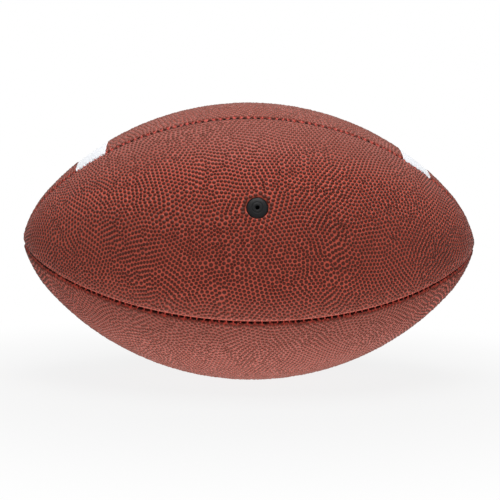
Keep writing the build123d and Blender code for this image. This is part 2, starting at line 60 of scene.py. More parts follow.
# Angles round the long axis, from the rear over the top
PANEL_ANGLES = {"valve": 165.0, "upper": 75.0, "rear": -15.0, "lower": 255.0}
SEAM_ANGLES = {"upper": 120.0, "lace": 30.0, "lower_rear": -60.0, "lower_front": 210.0}

# Cover: a pebble has a middle, a ring round it and a valley line shared with its neighbours
PEBBLE = 2.57 * MM
PEBBLE_HEIGHT = 0.58 * MM
ROW_RISE = 0.76 * PEBBLE
RING = 0.68
RING_HEIGHT = 0.62
WIDE_SWIRL = 4.5
NEAR_SWIRL = 0.75
JITTER = 0.3
SHOULDER = 1.0 * MM
ROLL = 2.8 * MM
ROLL_STEPS = (0.75, 0.52, 0.32, 0.16, 0.04, 0.04)
COVER = 2.0 * MM
STITCH = 4.0 * MM
# Toward a tip the pebbles lose this share of their height; the sheet is cut before the tip and ends at a gap
TIP_FADE = 34.0 * MM
TIP_FLATTER = 0.6
TIP_CAP = 5.2 * MM
TIP_GAP = 0.7 * MM
# An edge of a panel: how strongly the stitches draw it in, how far the pebbles take to reach full height, how
# far it stands back between stitches, how far its band of painted shade in the seam gap reaches at and between
# stitches (lengths in mm) and how much bare red shows along it
Edge = namedtuple("Edge", "drawn rise back dark_at dark_between bare")
PLAIN_EDGE = Edge(0.6, 1.2, 0.6, 0.2, 0.5, 0.4)
EDGES = {
    "valve": (Edge(0.9, 0.6, 0.8, 0.1, 1.0, 0.4), Edge(0.1, 2.0, 0.6, 0.6, 0.6, 0.0)),
    "upper": (PLAIN_EDGE, Edge(0.9, 0.5, 1.0, 0.3, 1.4, 0.7)),
    "rear": (PLAIN_EDGE, PLAIN_EDGE),
    "lower": (Edge(0.1, 0.4, 0.8, 0.9, 1.1, 0.9), PLAIN_EDGE),
}
# The upper seam where a stripe reaches it
STRIPE_EDGES = {
    "valve": Edge(0.8, 0.6, 0.7, 0.0, 0.15, 0.1),
    "upper": Edge(0.2, 0.5, 0.2, 0.0, 0.0, 0.0),
}
STRIPE_START = 93.5 * MM
STRIPE_WIDTH = 22.0 * MM
STRIPE_SHIFT = 1.2 * MM
STRIPE_MARGIN = 0.4 * MM
UNDER_STRIPE = 0.2
FILM_LIFT = 0.1 * MM
FILM_THICKNESS = 0.16 * MM
FILM_STEPS = (1.2, 0.75, 0.5)
VALVE_HOLE = 6.2 * MM

# Lace
LACE_STEPS = [(step - 3.5) * 13.5 * MM for step in range(8)]
LACE_HOLE = 11.0 * MM
STRAND_REACH = 60.0 * MM
STRAND_LIFT = 0.75 * MM
STRAND_DIP = math.radians(80)

# Stitching: from the middle to its ends, and where it starts beside the lace
SEAM_REACH = 118.0 * MM
LACE_GAP = 73.0 * MM


def meridian(along):
    """Point (x, r) and normal of the side outline by the length from the middle."""
    size = np.abs(along)
    crown = size <= KNEE
    turn = np.where(crown, size / CROWN_RADIUS, CROWN_TURN + (size - KNEE) / END_RADIUS)
    x = np.where(crown, CROWN_RADIUS * np.sin(turn), END_X + END_RADIUS * np.sin(turn))
    r = np.where(crown, CROWN_HEIGHT + CROWN_RADIUS * np.cos(turn), END_R + END_RADIUS * np.cos(turn))
    side = np.sign(along)
    return side * x, r, side * np.sin(turn), np.cos(turn)


def half_width(along):
    """Half the width of a flat panel at one length from the middle."""
    return float(meridian(np.float64(along))[1]) * math.pi / 4


def wrap(flat, angle):
    """Bends flat panel points (along, across, height) onto the ball."""
    x, r, nx, nr = meridian(flat[:, 0])
    r = np.maximum(r, 0.02 * MM)
    turn = math.radians(angle) - flat[:, 1] / r
    out = r + nr * flat[:, 2]
    return np.stack([x + nx * flat[:, 2], out * np.cos(turn), out * np.sin(turn)], 1)


def skin_matrix(along, angle, height=0.0):
    """Frame on the ball: X along the seam, Y across, Z outwards."""
    x, r, nx, nr = (float(v) for v in meridian(np.float64(along if along else 1e-12)))
    turn = math.radians(angle)
    spot = Vector((x + nx * height, (r + nr * height) * math.cos(turn), (r + nr * height) * math.sin(turn)))
    out = Vector((nx, nr * math.cos(turn), nr * math.sin(turn)))
    forward = Vector((nr, -nx * math.cos(turn), -nx * math.sin(turn)))
    across = out.cross(forward)
    rows = Matrix((forward, across, out)).transposed().to_4x4()
    rows.translation = spot
    return rows


def finish_mesh(bm, name, angle=None):
    """Turns a bmesh into an object, bent onto the ball if it was drawn flat."""
    bmesh.ops.recalc_face_normals(bm, faces=bm.faces)
    if bm.calc_volume(signed=True) < 0:
        bmesh.ops.reverse_faces(bm, faces=bm.faces)
    mesh = bpy.data.meshes.new(name)
    bm.to_mesh(mesh)
    bm.free()
    if angle is not None:
        count = len(mesh.vertices)
        flat = np.empty(count * 3)
        mesh.vertices.foreach_get("co", flat)
        mesh.vertices.foreach_set("co", wrap(flat.reshape(count, 3), angle).ravel())
    mesh.polygons.foreach_set("use_smooth", [True] * len(mesh.polygons))
    mesh.update()
    piece = bpy.data.objects.new(name, mesh)
    bpy.context.collection.objects.link(piece)
    return piece


def shoulder_drop(distance):
    """How far the rolled edge lies below the surface, by the distance from the seam."""
    if distance >= ROLL:
        return 0.0
    return ROLL - math.sqrt(max(ROLL ** 2 - (ROLL - distance) ** 2, 0.0))


CUT = TIP - TIP_CAP
CUT_WIDTH = half_width(CUT) - SHOULDER


def swirl(x, y, seed):
    """Turns rows of pebbles this way and that without crowding them."""
    step = 0.01
    rise = noise.noise(Vector((x, y + step, seed))) - noise.noise(Vector((x, y - step, seed)))
    run = noise.noise(Vector((x + step, y, seed))) - noise.noise(Vector((x - step, y, seed)))
    return Vector((rise, -run)) / (2 * step)


def pebble_cells(seed, hole):
    """Flat sheet of uneven cells, one round each pebble, cut to a panel's outline."""
    bm = bmesh.new()
    columns = int(2 * TIP / PEBBLE) + 8
    rows = int(2 * half_width(0) / ROW_RISE) + 10
    bmesh.ops.create_grid(bm, x_segments=columns, y_segments=rows, size=0.5)
    low = [min(v.co[k] for v in bm.verts) for k in (0, 1)]
    high = [max(v.co[k] for v in bm.verts) for k in (0, 1)]
    for v in bm.verts:
        i = round((v.co.x - low[0]) / (high[0] - low[0]) * columns)
        j = round((v.co.y - low[1]) / (high[1] - low[1]) * rows)
        v.co = ((i - columns / 2 + 0.5 * (j % 2)) * PEBBLE, (j - rows / 2) * ROW_RISE, 0)
    bmesh.ops.triangulate(bm, faces=bm.faces, quad_method="SHORT_EDGE")
    rng = random.Random(seed)
    for v in bm.verts:
        wide = swirl(v.co.x * 18 + seed * 7.3, v.co.y * 18, seed) * WIDE_SWIRL
        near = swirl(v.co.x * 60, v.co.y * 60 + seed * 3.1, seed + 40) * NEAR_SWIRL
        v.co.xy += (wide + near + Vector((rng.gauss(0, JITTER), rng.gauss(0, JITTER)))) * MM
    for factor in (0.5, 0.5, 0.5, 0.3, 0.0):
        inner = [e for e in bm.edges if len(e.link_faces) == 2]
        bmesh.ops.beautify_fill(bm, faces=bm.faces, edges=inner, method="AREA")
        bmesh.ops.smooth_vert(bm, verts=bm.verts, factor=factor, use_axis_x=True, use_axis_y=True)
    rim = {v for e in border(bm) for v in e.verts}
    middles = [v for v in bm.verts if v not in rim]
    links = [e for e in bm.edges if len(e.link_faces) == 2]
    bmesh.ops.poke(bm, faces=bm.faces)
    bmesh.ops.rotate_edges(bm, edges=links, use_ccw=False)
    bmesh.ops.dissolve_verts(bm, verts=middles)
    out = []
    for f in bm.faces:
        c = f.calc_center_median()
        inside = abs(c.x) < CUT and abs(c.y) < half_width(c.x) - SHOULDER
        if inside and hole:
            inside = c.xy.length > hole
        if not inside:
            out.append(f)
    bmesh.ops.delete(bm, geom=out, context="FACES")
    return bm


def is_hole(v, hole):
    return hole > 0 and v.co.xy.length < hole + 3 * PEBBLE


def snap_edge(v, hole):
    """Puts a border point on the panel's outline or on the valve hole."""
    if is_hole(v, hole):
        v.co.xy = v.co.xy.normalized() * hole
        return
    along = max(-CUT, min(CUT, v.co.x))
    room = half_width(along) - SHOULDER
    if abs(v.co.x) > CUT - 0.6 * MM and abs(v.co.y) < room - 0.5 * MM:
        v.co.x = math.copysign(CUT, v.co.x)
        v.co.y = max(-CUT_WIDTH, min(CUT_WIDTH, v.co.y))
    else:
        v.co.x = along
        v.co.y = math.copysign(room, v.co.y)


def border(bm):
    return [e for e in bm.edges if len(e.link_faces) == 1]


def edge_ring(bm, edges, place):
    """Grows one ring of faces from border edges and places its new points."""
    grown = bmesh.ops.extrude_edge_only(bm, edges=edges)
    for item in grown["geom"]:
        if isinstance(item, bmesh.types.BMVert):
            place(item)
    made = [item for item in grown["geom"] if isinstance(item, bmesh.types.BMEdge)]
    return [e for e in made if len(e.link_faces) == 1]


def on_stripe(along, margin):
    """True between the two ends of a stripe, widened by a margin."""
    past = abs(along - STRIPE_SHIFT) - STRIPE_START
    return -margin < past < STRIPE_WIDTH + margin


def edge_style(panel, v):
    """The edge that holds at one point of a panel."""
    below = v.co.y < 0
    at_film = panel == "valve" and not below or panel == "upper" and below
    if at_film and on_stripe(v.co.x, 0.0):
        return STRIPE_EDGES[panel]
    return EDGES[panel][below]


def chart_pebble(middle, chart):
    """Gives every corner its place in its pebble: 0 in the middle, 1 on the valley line."""
    for face in middle.link_faces:
        for loop in face.loops:
            if loop.vert is middle:
                rim = loop.link_loop_next
        wall = rim.link_loop_radial_next.face
        ring = rim.edge.verts
        for loop in list(face.loops) + list(wall.loops):
            level = RING if loop.vert in ring else 1.0
            loop[chart].uv = (loop.vert.co.xy - middle.co.xy).normalized() * level


def pebbled_sheet(panel, seed, hole=0.0):
    """Flat sheet with raised pebbles, a mask of where they are and a chart of each one."""
    bm = pebble_cells(seed, hole)
    for e in border(bm):
        for v in e.verts:
            snap_edge(v, hole)
    bmesh.ops.dissolve_degenerate(bm, dist=0.05 * MM, edges=bm.edges)
    mask = bm.verts.layers.float.new("pebble")
    bm.verts.layers.float.new("edge")
    chart = bm.loops.layers.uv.new("pebble_chart")
    rng = random.Random(seed + 100)
    cells = list(bm.faces)
    heights = [PEBBLE_HEIGHT * rng.uniform(0.75, 1.25) for _ in cells]
    bmesh.ops.inset_individual(bm, faces=cells, thickness=0, depth=0)
    for f, height in zip(cells, heights):
        c = f.calc_center_median()
        mean = sum((v.co.xy - c.xy).length for v in f.verts) / len(f.verts)
        size = min(0.6 * mean + 0.22 * PEBBLE, 1.15 * mean)
        for v in f.verts:
            d = v.co.xy - c.xy
            far = d.length or mean
            v.co.xy = c.xy + d * (RING * (0.2 + 0.8 * size / far))
            v.co.z = height * RING_HEIGHT
    poked = bmesh.ops.poke(bm, faces=cells)
    for v, height in zip(poked["verts"], heights):
        chart_pebble(v, chart)
        v.co.z = height
    for v in bm.verts:
        v[mask] = 1.0
        if panel in ("upper", "rear") and on_stripe(v.co.x, STRIPE_MARGIN):
            v.co.z *= UNDER_STRIPE
        v.co.z *= 1 - TIP_FLATTER * min(1.0, max(0.0, (abs(v.co.x) - TIP + TIP_FADE) / TIP_FADE))
        distance = half_width(v.co.x) - abs(v.co.y)
        if distance < 2 * ROLL and not is_hole(v, hole):
            reach = edge_style(panel, v).rise * MM
            fade = max(0.0, min(1.0, (distance - SHOULDER) / reach))
            v.co.z = v.co.z * fade - shoulder_drop(distance)
            v[mask] *= 0.35 + 0.65 * fade
    return bm


SEEDS = {"valve": 1, "upper": 2, "rear": 3, "lower": 4}
SHEETS = {}
for panel, seed in SEEDS.items():
    SHEETS[panel] = pebbled_sheet(panel, seed, VALVE_HOLE if panel == "valve" else 0.0)


def uneven(along):
    return 2.2 * noise.noise(Vector((along * 90, 0.5, 0.5)))


def stitch_spot(count):
    along = count * STITCH
    for _ in range(8):
        along = (count - uneven(along) / (2 * math.pi)) * STITCH
    return along


def pinch(along):
    """How far a seam is drawn together: 1 at each stitch, 0 between stitches."""
    wave = 0.5 + 0.5 * math.cos(2 * math.pi * along / STITCH + uneven(along))
    return wave ** 1.6


def make_panel(name, hole=0.0):
    """One cover panel: its pebbled sheet with rolled, stitched edges and a back wall."""
    bm = SHEETS[name].copy()
    mask = bm.verts.layers.float["pebble"]
    edge = bm.verts.layers.float["edge"]
    seed = SEEDS[name]
    bmesh.ops.subdivide_edges(bm, edges=border(bm), cuts=2)
    for e in border(bm):
        for v in e.verts:
            snap_edge(v, hole)
            if not is_hole(v, hole):
                v.co.z = -shoulder_drop(half_width(v.co.x) - abs(v.co.y))
    outline = [e for e in border(bm) if not is_hole(e.verts[0], hole)]
    rim = [e for e in border(bm) if is_hole(e.verts[0], hole)]
    for k, mm in enumerate(ROLL_STEPS):
        distance = mm * MM
        depth = shoulder_drop(distance) + (1.0 * MM if k == len(ROLL_STEPS) - 1 else 0)
        share = (k + 1) / len(ROLL_STEPS)

        def place(v):
            drop = depth
            if abs(v.co.x) > CUT - 0.01 * MM:
                along = CUT + (TIP - TIP_GAP - CUT) * share
                room = max(half_width(along) - distance * (1 - share), 0.15 * MM)
                v.co.y *= room / max(v[edge], 0.1 * MM) if v[edge] else room / CUT_WIDTH
                v[edge] = room
                v.co.x = math.copysign(along, v.co.x)
            else:
                style = edge_style(name, v)
                drawn = pinch(v.co.x) * style.drawn
                torn = noise.noise(Vector((v.co.x * 420, seed * 5.7, v.co.y)))
                ragged = style.back + 0.6 * max(style.drawn, style.bare) * torn
                gap = (0.04 + ragged * (1 - drawn)) * MM * min(1.0, share * 1.3) ** 2
                room = half_width(v.co.x) - distance - gap
                v.co.y = math.copysign(max(room, 0.1 * MM), v.co.y)
                drop = drop * (1 - 0.5 * drawn)
            v.co.z = -drop
            v[mask] = 0.0

        outline = edge_ring(bm, outline, place)
    for drop in (0.25, 1.0, 2.0):
        if rim:
            def sink(v):
                v.co.z = -drop * MM
                v[mask] = 0.0
            rim = edge_ring(bm, rim, sink)
    close_back(bm, outline, rim, hole)
    # The edge attribute: above 0 a near-black band of painted shade in the seam gap, below 0 the bare red along
    # the edge
    for v in bm.verts:
        distance = half_width(v.co.x) - abs(v.co.y)
        v[edge] = 0.0
        if distance < SHOULDER + 0.8 * MM and not is_hole(v, hole):
            style = edge_style(name, v)
            torn = noise.noise(Vector((v.co.x * 800, v.co.y * 800, seed)))
            between = style.dark_between
            reach = between + (style.dark_at - between) * pinch(v.co.x) + 0.8 * style.bare * torn
            dark = max(0.0, min(1.0, (reach - distance / MM) / 0.2))
            v[edge] = dark if dark > 0 else -style.bare * max(0.0, min(1.0, 0.6 + 0.9 * torn))
    return finish_mesh(bm, "cover_" + name, PANEL_ANGLES[name])


def close_back(bm, outline, rim, hole):
    """Closes a panel behind with a plain inner wall."""
    before = set(bm.faces)
    bmesh.ops.create_grid(bm, x_segments=56, y_segments=12, size=1.0)
    wall = [f for f in bm.faces if f not in before]
    points = {v for f in wall for v in f.verts}
    widest = max(abs(v.co.x) for v in points)
    tallest = max(abs(v.co.y) for v in points)
    for v in points:
        along = v.co.x / widest * (TIP - 6 * MM)
        v.co = (along, v.co.y / tallest * (half_width(along) - 2.2 * MM), -COVER)
    if hole:
        near = [f for f in wall if f.calc_center_median().xy.length < hole + 6 * MM]
        bmesh.ops.delete(bm, geom=near, context="FACES")
        wall = [f for f in wall if f.is_valid]
    loose = [e for f in wall for e in f.edges if len(e.link_faces) == 1]
    outer = [e for e in loose if e.verts[0].co.xy.length > 0.03]
    inner = [e for e in loose if e.verts[0].co.xy.length <= 0.03]
    bmesh.ops.bridge_loops(bm, edges=outline + outer)
    if rim:
        bmesh.ops.triangle_fill(bm, edges=rim + inner, normal=(0, 0, 1))


def make_stripe(name, panel, side):
    """White film over the pebbles of one panel, between two lengths from the middle."""
    bm = SHEETS[panel].copy()
    seed = SEEDS[panel]
    start, end = sorted((side * STRIPE_START, side * (STRIPE_START + STRIPE_WIDTH)))
    start, end = start + STRIPE_SHIFT, end + STRIPE_SHIFT
    for along, outward in ((start, -1), (end, 1)):
        bmesh.ops.bisect_plane(
            bm, geom=bm.verts[:] + bm.edges[:] + bm.faces[:], dist=1e-7,
            plane_co=(along, 0, 0), plane_no=(outward, 0, 0), clear_outer=True,
        )
    sides = []
    for e in border(bm):
        if all(abs(v.co.y) > half_width(v.co.x) - SHOULDER - 0.3 * MM for v in e.verts):
            sides.append(e)
    for mm in FILM_STEPS:
        def place(v):
            ragged = 0.2 * MM * noise.noise(Vector((v.co.x * 700, v.co.y * 10, seed)))
            v.co.y = math.copysign(half_width(v.co.x) - mm * MM + ragged, v.co.y)
            v.co.z = -shoulder_drop(mm * MM)
        sides = edge_ring(bm, sides, place)
    for v in bm.verts:
        v.co.z += FILM_LIFT
    lower = bmesh.ops.extrude_face_region(bm, geom=bm.faces[:], use_keep_orig=True)
    for item in lower["geom"]:
        if isinstance(item, bmesh.types.BMVert):
            item.co.z -= FILM_THICKNESS
    return finish_mesh(bm, name, PANEL_ANGLES[panel])


covers = {}
covers["valve"] = make_panel("valve", VALVE_HOLE)
covers["upper"] = make_panel("upper")
covers["rear"] = make_panel("rear")
covers["lower"] = make_panel("lower")
stripes = {}
for panel in ("upper", "rear"):
    for word, side in (("left", -1), ("right", 1)):
        key = panel + "_" + word
        stripes[key] = make_stripe("stripe_film_" + key, panel, side)
for sheet in SHEETS.values():
    sheet.free()


def rounded_face(bm, width, thickness, segments=14, power=0.6):
    """Flat rounded strip section in the XY plane of the bmesh."""
    made = bmesh.ops.create_circle(bm, cap_ends=True, radius=1.0, segments=segments)
    for v in made["verts"]:
        v.co.x = math.copysign(abs(v.co.x) ** power, v.co.x) * width / 2
        v.co.y = math.copysign(abs(v.co.y) ** power, v.co.y) * thickness / 2
    return [made["verts"][0].link_faces[0]], list(made["verts"])


def turned(bm, faces, centre, axis, angle, steps):
    """Carries a section round an axis and returns its far end."""
    grown = bmesh.ops.spin(
        bm, geom=faces, cent=centre, axis=axis, dvec=(0, 0, 0), angle=angle, steps=steps, use_duplicate=False,
    )
    return [f for f in grown["geom_last"] if isinstance(f, bmesh.types.BMFace)]


def pushed(bm, faces, offset):
    """Carries a section straight on and returns its far end."""
    grown = bmesh.ops.extrude_face_region(bm, geom=faces)
    verts = [g for g in grown["geom"] if isinstance(g, bmesh.types.BMVert)]
    bmesh.ops.translate(bm, verts=verts, vec=offset)
    return [g for g in grown["geom"] if isinstance(g, bmesh.types.BMFace)]


def crossbar(bm, place, width, thickness, lift):
    """One crossbar: up out of a hole, over the seam and down into the other hole."""
    start = set(bm.verts)
    faces, verts = rounded_face(bm, width, thickness)
    half = LACE_HOLE
    bend = 2.2 * MM
    slope = math.radians(26)
    run = half - bend * (1 - math.sin(slope))
    reach = run / math.sin(slope)
    base = -2.6 * MM
    bmesh.ops.translate(bm, verts=verts, vec=(0, -half, base))
    rise = lift - reach * (1 - math.cos(slope)) - bend * math.cos(slope)
    faces = pushed(bm, faces, (0, 0, rise - base))
    faces = turned(bm, faces, (0, -half + bend, rise), (1, 0, 0), -(math.pi / 2 - slope), 6)
    top = rise + bend * math.cos(slope)
    faces = turned(bm, faces, (0, 0, top - reach * math.cos(slope)), (1, 0, 0), -2 * slope, 14)
    faces = turned(bm, faces, (0, half - bend, rise), (1, 0, 0), -(math.pi / 2 - slope), 6)
    pushed(bm, faces, (0, 0, base - rise))
    made = [v for v in bm.verts if v not in start]
    bmesh.ops.transform(bm, matrix=place, verts=made)


def crown_axis(seam):
    """Centre and axis of the crown arc that a seam follows."""
    lean = math.radians(SEAM_ANGLES[seam])
    centre = Vector((0, CROWN_HEIGHT * math.cos(lean), CROWN_HEIGHT * math.sin(lean)))
    return centre, Vector((0, -math.sin(lean), math.cos(lean)))


def make_lace():
    """The lace: crossbars over two long strands that dip into the cover at both ends."""
    bm = bmesh.new()
    rng = random.Random(9)
    for along in LACE_STEPS:
        place = skin_matrix(along + rng.uniform(-0.25, 0.25) * MM, SEAM_ANGLES["lace"])
        turn = Matrix.Rotation(rng.uniform(-0.025, 0.025), 4, "Z")
        crossbar(bm, place @ turn, 6.2 * MM, 2.1 * MM, 3.0 * MM)
    centre, axis = crown_axis("lace")
    on_end = Matrix(((0, 0, 1, 0), (1, 0, 0, 0), (0, 1, 0, 0), (0, 0, 0, 1)))
    bend = 2.0 * MM
    for side in (-1, 1):
        faces, verts = rounded_face(bm, 3.7 * MM, 1.7 * MM)
        place = skin_matrix(-STRAND_REACH, SEAM_ANGLES["lace"], STRAND_LIFT)
        stand = place @ Matrix.Translation((0, side * 2.1 * MM, 0)) @ on_end
        bmesh.ops.transform(bm, matrix=stand, verts=verts)
        low = place @ Vector((0, 0, -bend))
        bmesh.ops.rotate(bm, verts=verts, cent=low, matrix=Matrix.Rotation(STRAND_DIP, 3, axis))
        faces = turned(bm, faces, low, axis, -STRAND_DIP, 6)
        faces = turned(bm, faces, centre, axis, -2 * STRAND_REACH / CROWN_RADIUS, 40)
        far = skin_matrix(STRAND_REACH, SEAM_ANGLES["lace"], STRAND_LIFT) @ Vector((0, 0, -bend))
        turned(bm, faces, far, axis, -STRAND_DIP, 6)
    inner = [f for f in bm.faces if all(len(e.link_faces) > 2 for e in f.edges)]
    bmesh.ops.delete(bm, geom=inner, context="FACES_ONLY")
    return finish_mesh(bm, "lace_cord")


lace_piece = make_lace()


def make_thread(name, seam, start, end):
    """Stitches across the groove of one seam and the runs behind it."""
    bm = bmesh.new()
    rng = random.Random(len(name))
    depth = 1.3 if seam == "lower_front" else 0.6
    for count in range(math.ceil(start / STITCH) + 1, math.floor(end / STITCH)):
        place = skin_matrix(stitch_spot(count), SEAM_ANGLES[seam], -depth * MM)
        across = Matrix.Rotation(math.radians(90), 4, "X")
        tilt = across @ Matrix.Rotation(rng.uniform(-0.25, 0.25), 4, "Y")
        bmesh.ops.create_cone(
            bm, cap_ends=True, segments=8, radius1=0.42 * MM, radius2=0.42 * MM, depth=1.9 * MM,
            matrix=place @ tilt,
        )
    centre, axis = crown_axis(seam)
    for side in (-1, 1):
        place = skin_matrix(start, SEAM_ANGLES[seam], -4.0 * MM)
        beside = Matrix.Translation((0, side * 2.25 * MM, 0))
        section = place @ beside @ Matrix.Rotation(math.radians(90), 4, "Y")
        made = bmesh.ops.create_circle(bm, cap_ends=True, radius=0.45 * MM, segments=8, matrix=section)
        faces = [made["verts"][0].link_faces[0]]
        turned(bm, faces, centre, axis, -(end - start) / CROWN_RADIUS, 40)
    return finish_mesh(bm, "stitching_" + name)


threads = {
    "upper": make_thread("upper", "upper", -SEAM_REACH, SEAM_REACH),
    "lower_front": make_thread("lower_front", "lower_front", -SEAM_REACH, SEAM_REACH),
    "lower_rear": make_thread("lower_rear", "lower_rear", -SEAM_REACH, SEAM_REACH),
    "lace_left": make_thread("lace_left", "lace", -SEAM_REACH, -LACE_GAP),
    "lace_right": make_thread("lace_right", "lace", LACE_GAP, SEAM_REACH),
}


def lathe(name, outline, steps=64):
    """Piece turned about the valve's axis from a few outline points (radius, height in mm)."""
    bm = bmesh.new()
    points = [bm.verts.new((r * MM, 0, z * MM)) for r, z in outline]
    edges = [bm.edges.new((a, b)) for a, b in zip(points, points[1:])]
    bmesh.ops.spin(
        bm, geom=points + edges, cent=(0, 0, 0), axis=(0, 0, 1), dvec=(0, 0, 0),
        angle=2 * math.pi, steps=steps, use_merge=True,
    )
    bmesh.ops.remove_doubles(bm, verts=bm.verts, dist=1e-7)
    bmesh.ops.transform(bm, matrix=skin_matrix(0, PANEL_ANGLES["valve"]), verts=bm.verts)
    return finish_mesh(bm, name)


boot = lathe("valve_housing", [
    (3.04, -11.9), (3.04, 0.38), (3.12, 0.44), (3.8, 0.32), (4.6, 0.1), (5.3, -0.16), (5.8, -0.42),
    (6.06, -0.66), (6.14, -0.9), (6.14, -5.3), (14.0, -6.2), (14.0, -7.4), (5.0, -6.6), (5.0, -14.0),
    (1.5, -14.0), (1.5, -12.2), (3.04, -12.2), (3.04, -11.9),
])
core = lathe("valve_plug", [
    (1.15, -9.9), (1.15, 0.3), (1.22, 0.5), (1.4, 0.6), (2.2, 0.56), (2.9, 0.46), (2.98, 0.4),
    (2.98, -11.9), (0, -11.9), (0, -9.9), (1.15, -9.9),
])

for key in covers:
    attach(covers[key], "ball")
    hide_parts("panel_" + key)
for key in stripes:
    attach(stripes[key], "ball")
    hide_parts("stripe_" + key)
for key in threads:
    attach(threads[key], "ball")
    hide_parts("seam_thread_" + key)
for piece, body, node, slot in (
    (lace_piece, "ball", "lace", "lace"),
    (boot, "ball", "valve_boot", "valve_rubber"),
    (core, "valve", "valve_core", "valve_rubber"),
):
    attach(piece, body)
    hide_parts(node)


def linear(r, g, b):
    """Colour given as 0 to 255 screen values, as the linear values that shaders use."""
    out = []
    for value in (r, g, b):
        c = value / 255
        out.append(c / 12.92 if c <= 0.04045 else ((c + 0.055) / 1.055) ** 2.4)
    return (*out, 1.0)


def new_material(name):
    material = bpy.data.materials.new(name)
    material.use_nodes = True
    nodes = material.node_tree.nodes
    return material, nodes, material.node_tree.links, nodes["Principled BSDF"]


def colour_mix(nodes, first=None, second=None):
    """Mix of two colours; one that is left out gets a link."""
    node = nodes.new("ShaderNodeMix")
    node.data_type = "RGBA"
    for socket, colour in ((6, first), (7, second)):
        if colour:
            node.inputs[socket].default_value = colour
    return node


def math_node(nodes, operation, value=None):
    node = nodes.new("ShaderNodeMath")
    node.operation = operation
    if value is not None:
        node.inputs[1].default_value = value
    return node


def vector_node(nodes, operation):
    node = nodes.new("ShaderNodeVectorMath")
    node.operation = operation
    return node


def ranged(nodes, start, end, low=0.0, high=1.0, smooth=False):
    """Turns values from start to end into values from low to high."""
    node = nodes.new("ShaderNodeMapRange")
    if smooth:
        node.interpolation_type = "SMOOTHSTEP"
    for socket, value in (("From Min", start), ("From Max", end), ("To Min", low), ("To Max", high)):
        node.inputs[socket].default_value = value
    return node


def grain_group():
    """Shared fine grain: a soft mottle and a small-scale normal."""
    group = bpy.data.node_groups.new("grain", "ShaderNodeTree")
    for name, kind, value in (("Scale", "NodeSocketFloat", 800.0), ("Bump", "NodeSocketFloat", 0.2)):
        group.interface.new_socket(name, in_out="INPUT", socket_type=kind).default_value = value
    group.interface.new_socket("Mottle", in_out="OUTPUT", socket_type="NodeSocketFloat")
    group.interface.new_socket("Normal", in_out="OUTPUT", socket_type="NodeSocketVector")
    nodes, links = group.nodes, group.links
    inside = nodes.new("NodeGroupInput")
    outside = nodes.new("NodeGroupOutput")
    coords = nodes.new("ShaderNodeTexCoord")
    broad = nodes.new("ShaderNodeTexNoise")
    broad.inputs["Scale"].default_value = 55
    broad.inputs["Detail"].default_value = 4
    fine = nodes.new("ShaderNodeTexNoise")
    fine.inputs["Detail"].default_value = 3
    bump = nodes.new("ShaderNodeBump")
    bump.inputs["Distance"].default_value = 0.2 * MM
    links.new(coords.outputs["Object"], broad.inputs["Vector"])
    links.new(coords.outputs["Object"], fine.inputs["Vector"])
    links.new(inside.outputs["Scale"], fine.inputs["Scale"])
    links.new(inside.outputs["Bump"], bump.inputs["Strength"])
    links.new(fine.outputs["Fac"], bump.inputs["Height"])
    links.new(broad.outputs["Fac"], outside.inputs["Mottle"])
    links.new(bump.outputs["Normal"], outside.inputs["Normal"])
    return group


GRAIN = grain_group()


def add_grain(nodes, scale, bump):
    node = nodes.new("ShaderNodeGroup")
    node.node_tree = GRAIN
    node.inputs["Scale"].default_value = scale
    node.inputs["Bump"].default_value = bump
    return node


def plain_material(name, dark, light, roughness, scale, bump, spread=0.1):
    """Material with a mottled colour, uneven roughness and a fine bump."""
    material, nodes, links, shader = new_material(name)
    grain = add_grain(nodes, scale, bump)
    tone = colour_mix(nodes, dark, light)
    rough = ranged(nodes, 0, 1, roughness - spread, roughness + spread)
    links.new(grain.outputs["Mottle"], tone.inputs[0])
    links.new(grain.outputs["Mottle"], rough.inputs["Value"])
    links.new(tone.outputs[2], shader.inputs["Base Color"])
    links.new(rough.outputs["Result"], shader.inputs["Roughness"])
    links.new(grain.outputs["Normal"], shader.inputs["Normal"])
    return material


